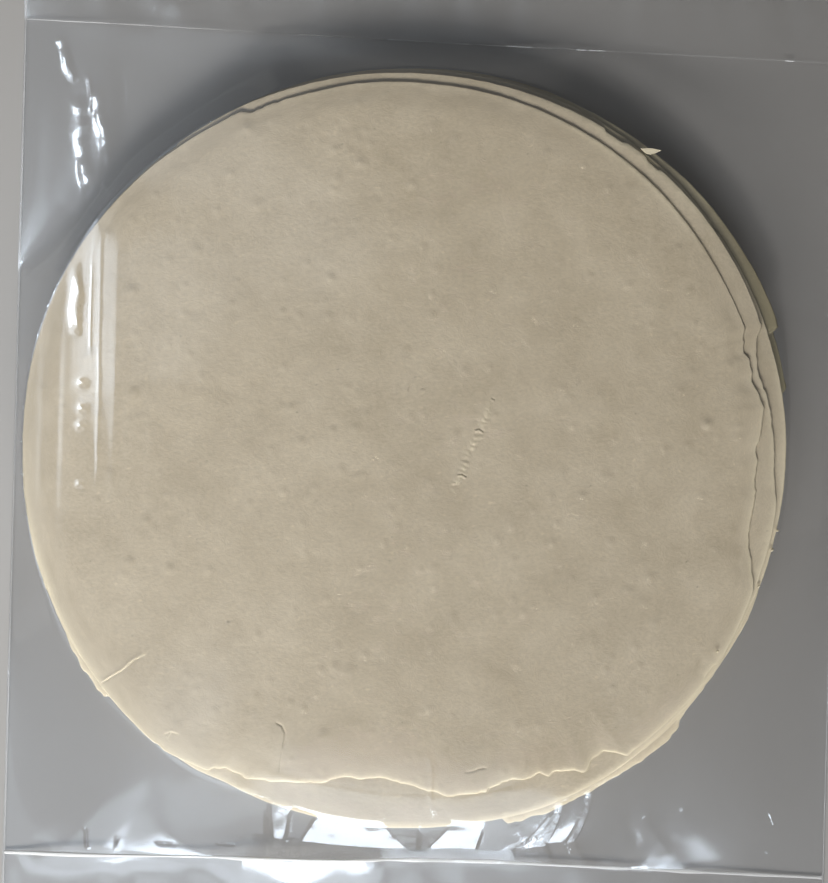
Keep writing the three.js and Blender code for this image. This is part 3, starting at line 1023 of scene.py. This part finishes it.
def ripple_points():
    """Points over the fine ripples, closer together across them than along them."""
    (left, low), (right, high) = np.array(RIPPLE_PATCH) * MM
    columns = np.arange(left, right, RIPPLE_STEP[0])
    rows = np.arange(low, high, RIPPLE_STEP[1])
    x, y = np.meshgrid(columns, rows)
    return np.column_stack([x.ravel(), y.ravel()])


def inside_border(points, room):
    """Those points that have some room to the pouch's edge."""
    return points[np.all(np.abs(points) < FILM_HALF - room, axis=1)]


def film_points(pouch):
    """Points over the upper film: closer together in the fine patches, and in rows along its relief."""
    points = lattice_points(-FILM_HALF, FILM_HALF, FILM_SPACING)
    fine = []
    for corner, far_corner in FINE_PATCHES:
        start, end = np.array(corner) * MM, np.array(far_corner) * MM
        inside = np.all((points > start) & (points < end), axis=1)
        points = points[~inside]
        fine.append(lattice_points(start, end, FINE_SPACING))
    rows = [*fold_points(), *pleat_points(pouch), *spot_points(), ripple_points()]
    for offset in SHOULDER_ROWS:
        rows.append(from_polar(pouch.shoulders + offset, pouch.angles))
    return inside_border(np.vstack([points, *fine, *rows]), BORDER_ROOM)


def film_border():
    """Points round the pouch's edge."""
    counts = np.round(2 * FILM_HALF / FILM_SPACING).astype(int)
    x = np.linspace(-FILM_HALF[0], FILM_HALF[0], counts[0], endpoint=False)
    y = np.linspace(-FILM_HALF[1], FILM_HALF[1], counts[1], endpoint=False)
    sides = [
        np.column_stack([x, np.full(len(x), -FILM_HALF[1])]),
        np.column_stack([np.full(len(y), FILM_HALF[0]), y]),
        np.column_stack([-x, np.full(len(x), FILM_HALF[1])]),
        np.column_stack([np.full(len(y), -FILM_HALF[0]), -y]),
    ]
    return np.vstack(sides)


def film_piece(name, node, points, height, film):
    """A sheet of film over the pouch's plan at the given heights."""
    plan, faces = fill(film_border(), points)
    vertices = np.column_stack([plan, height(*plan.T)])
    piece = add_mesh(name, vertices, faces, {})
    piece.data.set_sharp_from_angle(angle=CREASE_ANGLE)
    piece.data.materials.append(film)
    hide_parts(node)
    return piece


def bead_piece(name, path, height, width, milk_and_glint, material):
    """A thin rounded bead along a path over the film, thicker and thinner along it."""
    run = np.gradient(path, axis=0)
    run /= np.hypot(*run.T)[:, None]
    aside = np.column_stack([-run[:, 1], run[:, 0]])
    turns = np.linspace(0, TURN, BEAD_SIDES, endpoint=False)
    middle = height(*path.T)
    thick = width * (BEAD_VARIETY[0] + BEAD_VARIETY[1] * soft_noise(*path.T, BEAD_LUMP, BEAD_SEED))
    rings = []
    for turn in turns:
        plan = path + aside * (0.5 * thick * math.cos(turn))[:, None]
        rings.append(np.column_stack([plan, middle + BEAD_LIFT + 0.5 * BEAD_HEIGHT * math.sin(turn)]))
    vertices = np.stack(rings, axis=1).reshape(-1, 3)
    last = (len(path) - 1) * BEAD_SIDES
    faces = [tuple(range(BEAD_SIDES)), tuple(reversed(range(last, last + BEAD_SIDES)))]
    for start in range(0, last, BEAD_SIDES):
        faces += band(start, start + BEAD_SIDES, BEAD_SIDES)
    piece = add_mesh(name, vertices, faces, {"milk_and_glint": np.repeat(milk_and_glint, BEAD_SIDES)})
    piece.data.materials.append(material)
    return piece


def milk_and_glint_share(places, steps):
    """How milky a bead is at places along it, with its painted glints, from its steps in millimetres."""
    where, share = np.array(steps).T
    return np.interp(places, where * MM, share)


def add_welds(pouch):
    """Beads along the welds at the two ends and down the two sides, milky and painted white where they
    catch the light.
    """
    bead_material = weld_material()
    across = np.arange(-SIDE_WELD, SIDE_WELD, BEAD_STEP)
    for name, line, steps in (("weld_top", TOP_WELD, TOP_MILK_AND_GLINTS), ("weld_low", LOW_WELD, LOW_MILK_AND_GLINT)):
        path = np.column_stack([across, np.interp(across, *line)])
        bead_piece(name, path, pouch.upper, BEAD_WIDTHS[name], milk_and_glint_share(across, steps), bead_material)
    along = np.arange(-FILM_HALF[1] + BEAD_STEP, FILM_HALF[1] - BEAD_STEP, BEAD_STEP)
    for name, side in (("weld_left", -1), ("weld_right", 1)):
        path = np.column_stack([np.full(len(along), side * SIDE_WELD), along])
        bead_piece(name, path, pouch.upper, BEAD_WIDTHS[name], milk_and_glint_share(along, SIDE_MILK), bead_material)


def add_pouch(papadums):
    """Both films of the pouch, and their welds."""
    film = film_material()
    pouch = Pouch(papadums)
    film_piece("film_over", "film_upper", film_points(pouch), pouch.upper, film)
    wide = lattice_points(-FILM_HALF, FILM_HALF, LOWER_SPACING)
    film_piece("film_under", "film_lower", inside_border(wide, LOWER_BORDER_ROOM), pouch.lower, film)
    add_welds(pouch)


def new_material(name):
    """An empty node material and its tree."""
    material = bpy.data.materials.new(name)
    material.use_nodes = True
    material.node_tree.nodes.clear()
    return material, material.node_tree


def add_node(tree, kind, **settings):
    """A node with its properties set, and its inputs where the name is an input's."""
    node = tree.nodes.new(kind)
    for name, value in settings.items():
        label = name.replace("_", " ").title()
        if label in node.inputs:
            node.inputs[label].default_value = value
        else:
            setattr(node, name, value)
    return node


def add_output(tree, surface):
    """The end of a material's tree."""
    output = add_node(tree, "ShaderNodeOutputMaterial")
    tree.links.new(surface, output.inputs["Surface"])


def add_noise(tree, stretch, scale, detail, roughness):
    """A noise over an object's own places, stretched along each axis."""
    place = add_node(tree, "ShaderNodeTexCoord")
    stretched = add_node(tree, "ShaderNodeMapping", scale=stretch)
    tree.links.new(place.outputs["Object"], stretched.inputs["Vector"])
    noise = add_node(tree, "ShaderNodeTexNoise", scale=scale, detail=detail, roughness=roughness)
    tree.links.new(stretched.outputs["Vector"], noise.inputs["Vector"])
    return noise.outputs["Fac"]


def add_shade(tree, noise, low, high, first, last):
    """A shade that goes from first to last as a noise goes from low to high."""
    shade = add_node(tree, "ShaderNodeMapRange", from_min=low, from_max=high, to_min=first, to_max=last)
    tree.links.new(noise, shade.inputs["Value"])
    return shade.outputs["Result"]


def add_product(tree, one, other):
    """Two shades multiplied."""
    product = add_node(tree, "ShaderNodeMath", operation="MULTIPLY")
    tree.links.new(one, product.inputs[0])
    tree.links.new(other, product.inputs[1])
    return product.outputs["Value"]


def add_tint(tree, base, label, tint, blend):
    """A colour blended with a tint by the number that each vertex has under a label."""
    share = add_node(tree, "ShaderNodeAttribute", attribute_name=label)
    tinted = add_node(tree, "ShaderNodeMix", data_type="RGBA", blend_type=blend)
    tinted.inputs[MIX_SECOND].default_value = tint
    tree.links.new(share.outputs["Fac"], tinted.inputs[MIX_SHARE])
    tree.links.new(base, tinted.inputs[MIX_FIRST])
    return tinted.outputs[MIX_RESULT]


def dough_material():
    """Dry raw dough: pale beige, softly mottled, with fine streaks and small specks, a painted glow at rims
    that face the light and painted olive shade on lower rims.
    """
    material, tree = new_material("dough")
    mottle = add_noise(tree, LAYER_STRETCH, *MOTTLE_NOISE)
    grain = add_noise(tree, STREAK_STRETCH, *GRAIN_NOISE)
    specks = add_noise(tree, LAYER_STRETCH, *SPECK_NOISE)
    flecks = add_noise(tree, STREAK_STRETCH, *FLECK_NOISE)

    mottled = add_node(tree, "ShaderNodeValToRGB")
    for stop, position, colour in zip(mottled.color_ramp.elements, MOTTLE_RANGE, (DOUGH_DARK, DOUGH_LIGHT)):
        stop.position = position
        stop.color = colour
    tree.links.new(mottle, mottled.inputs["Fac"])
    dark_spots = add_shade(tree, specks, *SPECK_SHADE)
    light_spots = add_shade(tree, flecks, *FLECK_SHADE)
    spotted = add_product(tree, dark_spots, light_spots)
    shade = add_product(tree, add_shade(tree, grain, *GRAIN_SHADE), spotted)
    shaded = add_node(tree, "ShaderNodeVectorMath", operation="SCALE")
    tree.links.new(mottled.outputs["Color"], shaded.inputs[0])
    tree.links.new(shade, shaded.inputs["Scale"])
    # Painted light: the rim tint is a painted glow on rims facing the light, and the olive tint is painted
    # shade on the lower rims.
    coloured = add_tint(tree, shaded.outputs["Vector"], "rim", DOUGH_PALE_AND_GLOW, "MIX")
    coloured = add_tint(tree, coloured, "painted_olive_shade", PAINTED_SHADE_OLIVE, "MULTIPLY")

    bump = add_node(tree, "ShaderNodeBump", strength=GRAIN_STRENGTH, distance=GRAIN_DEPTH)
    tree.links.new(grain, bump.inputs["Height"])
    surface = add_node(tree, "ShaderNodeBsdfPrincipled", roughness=DOUGH_ROUGHNESS)
    tree.links.new(coloured, surface.inputs["Base Color"])
    tree.links.new(bump.outputs["Normal"], surface.inputs["Normal"])
    add_output(tree, surface.outputs["BSDF"])
    return material


def film_material():
    """Clear film: see-through, with a gloss that grows at a slant."""
    material, tree = new_material("film")
    link = tree.links.new
    weight = add_node(tree, "ShaderNodeLayerWeight", blend=0.5)
    slant = add_node(tree, "ShaderNodeMath", operation="POWER")
    slant.inputs[1].default_value = SLANT_POWER
    link(weight.outputs["Facing"], slant.inputs[0])
    share = add_node(tree, "ShaderNodeMapRange")
    share.inputs["To Min"].default_value = FILM_FACING
    link(slant.outputs["Value"], share.inputs["Value"])
    clear = add_node(tree, "ShaderNodeBsdfTransparent", color=FILM_TINT)
    gloss = add_node(tree, "ShaderNodeBsdfAnisotropic", roughness=FILM_ROUGHNESS)
    mixed = add_node(tree, "ShaderNodeMixShader")
    link(share.outputs["Result"], mixed.inputs["Fac"])
    link(clear.outputs["BSDF"], mixed.inputs[1])
    link(gloss.outputs["BSDF"], mixed.inputs[2])
    haze = add_node(tree, "ShaderNodeBsdfAnisotropic", roughness=HAZE_ROUGHNESS)
    hazy = add_node(tree, "ShaderNodeMixShader", fac=HAZE_SHARE)
    link(mixed.outputs["Shader"], hazy.inputs[1])
    link(haze.outputs["BSDF"], hazy.inputs[2])
    add_output(tree, hazy.outputs["Shader"])
    return material


def weld_material():
    """Film gone milky where it was melted together, and painted whiter in places to stand for glints."""
    material, tree = new_material("weld")
    surface = add_node(tree, "ShaderNodeBsdfPrincipled", roughness=WELD_ROUGHNESS, base_color=WELD_COLOUR)
    # The milky share is partly painted glint: opaque white where the bead catches the light.
    milk_and_glint = add_node(tree, "ShaderNodeAttribute", attribute_name="milk_and_glint")
    tree.links.new(milk_and_glint.outputs["Fac"], surface.inputs["Alpha"])
    add_output(tree, surface.outputs["BSDF"])
    return material


def table_material():
    """A plain pale grey table top."""
    material, tree = new_material("table")
    surface = add_node(tree, "ShaderNodeBsdfPrincipled", roughness=TABLE_ROUGHNESS, base_color=TABLE_COLOUR)
    surface.inputs["Specular IOR Level"].default_value = TABLE_GLOSS
    add_output(tree, surface.outputs["BSDF"])
    return material


def add_table():
    """The table that the pouch lies on."""
    half = TABLE_SIZE / 2
    sides = ((-half, -half), (half, -half), (half, half), (-half, half))
    corners = [(x, y, -TABLE_DROP) for x, y in sides]
    mesh = bpy.data.meshes.new("table")
    mesh.from_pydata(corners, [], [(0, 1, 2, 3)])
    table = bpy.data.objects.new("table", mesh)
    bpy.context.collection.objects.link(table)
    mesh.materials.append(table_material())


def add_light(name, azimuth, elevation, distance, size, power, lights_matt):
    """A flat light at an angle round the stack and a height above it, facing the stack."""
    light = bpy.data.lights.new(name, "AREA")
    light.shape = "RECTANGLE"
    light.size, light.size_y = size
    light.energy = power
    light.color = MATT_COLOUR if lights_matt else GLOSS_COLOUR
    light.spread = BEAM_SPREAD.get(name, math.pi)
    lamp = bpy.data.objects.new(name, light)
    turn, rise = math.radians(azimuth), math.radians(elevation)
    away = Vector((math.cos(turn) * math.cos(rise), math.sin(turn) * math.cos(rise), math.sin(rise)))
    lamp.location = away * distance + Vector((BEAM_AIM.get(name, 0), 0, 0))
    lamp.rotation_euler = away.to_track_quat("Z", "Y").to_euler()
    lamp.visible_diffuse = lights_matt
    lamp.visible_glossy = not lights_matt
    bpy.context.collection.objects.link(lamp)


def add_room():
    """Faint light from all round."""
    world = bpy.data.worlds.new("room")
    world.use_nodes = True
    background = world.node_tree.nodes["Background"]
    background.inputs["Color"].default_value = (*ROOM_COLOUR, 1)
    background.inputs["Strength"].default_value = ROOM_STRENGTH
    bpy.context.scene.world = world


def add_camera():
    """A camera looking straight down, turned a little as the photograph is."""
    lens = bpy.data.cameras.new("camera")
    lens.lens = CAMERA_LENS
    lens.sensor_width = CAMERA_SENSOR
    camera = bpy.data.objects.new("camera", lens)
    camera.location = CAMERA_PLACE
    camera.rotation_euler = (0, 0, CAMERA_ROLL)
    bpy.context.collection.objects.link(camera)
    bpy.context.scene.camera = camera


def stack_height(papadums, place):
    """Height of the highest papadum at a place, or of the lower film beside the stack."""
    x, y = np.array([place[0]]), np.array([place[1]])
    radius, angle = polar(x, y)
    height = FILM_REST
    for papadum in papadums:
        if papadum.rim(angle)[0] > radius[0]:
            height = max(height, papadum.underside(x, y)[0] + THICKNESS)
    return height


def add_crumbs(papadums, dough):
    """Loose crumbs beside the rim, each a small uneven lump."""
    random = np.random.default_rng(CRUMB_SEED)
    vertices, faces = [], []
    turns = np.arange(CRUMB_SIDES) * TURN / CRUMB_SIDES
    for px, py, length, width, height, degrees in CRUMBS:
        turn = math.radians(degrees)
        place = on_stack((px, py))
        rest = stack_height(papadums, place)
        start = sum(len(ring) for ring in vertices)
        rings = []
        for share, size in CRUMB_RINGS:
            wide = size * random.uniform(*CRUMB_VARIETY, CRUMB_SIDES)
            along, across = 0.5 * length * wide * np.cos(turns), 0.5 * width * wide * np.sin(turns)
            x = place[0] + MM * (along * math.cos(turn) - across * math.sin(turn))
            y = place[1] + MM * (along * math.sin(turn) + across * math.cos(turn))
            rings.append(np.column_stack([x, y, np.full(CRUMB_SIDES, rest + share * height * MM)]))
        vertices.append(np.vstack([*rings, [[*place, rest + height * MM]], [[*place, rest]]]))
        last = start + (len(rings) - 1) * CRUMB_SIDES
        top, bottom = last + CRUMB_SIDES, last + CRUMB_SIDES + 1
        for low in range(start, last, CRUMB_SIDES):
            faces += band(low + CRUMB_SIDES, low, CRUMB_SIDES)
        for step in range(CRUMB_SIDES):
            following = (step + 1) % CRUMB_SIDES
            faces.append((last + step, last + following, top))
            faces.append((start + following, start + step, bottom))
    corners = np.vstack(vertices)
    piece = add_mesh("crumbs", corners, faces, {"rim": np.ones(len(corners))})
    piece.data.materials.append(dough)


def add_flake(dough):
    """A thin pale flake that stands out from the rim and tips up at its point."""
    outline = on_stack(FLAKE)
    share = (outline[:, 0] - outline[:, 0].min()) / np.ptp(outline[:, 0])
    height = FLAKE_HEIGHTS[0] + (FLAKE_HEIGHTS[1] - FLAKE_HEIGHTS[0]) * share
    count = len(outline)
    vertices = np.vstack([
        np.column_stack([outline, height + FLAKE_THICKNESS]),
        np.column_stack([outline, height]),
    ])
    faces = [tuple(reversed(range(count))), tuple(range(count, 2 * count))]
    faces += band(count, 0, count)
    piece = add_mesh("flake", vertices, faces, {"rim": np.ones(2 * count)})
    piece.data.set_sharp_from_angle(angle=CREASE_ANGLE)
    piece.data.materials.append(dough)


def add_papadums():
    """The whole stack, with the finest surface on top and the plainest where no rim shows."""
    dough = dough_material()
    papadums = [Papadum(number) for number in range(1, PAPADUM_COUNT + 1)]
    for papadum in papadums:
        spacing = HIDDEN_SPACING
        if papadum.number >= SHOWN_FROM:
            spacing = SHOWN_SPACING
        if papadum.number == PAPADUM_COUNT:
            spacing = TOP_SPACING
        papadum_piece(papadum, spacing, dough)
    add_crumbs(papadums, dough)
    add_flake(dough)
    return papadums


bpy.context.scene.view_settings.view_transform = "Standard"
add_camera()
add_room()
for name, settings in LIGHTS.items():
    add_light(name, *settings)
add_table()
papadums = add_papadums()
add_pouch(papadums)
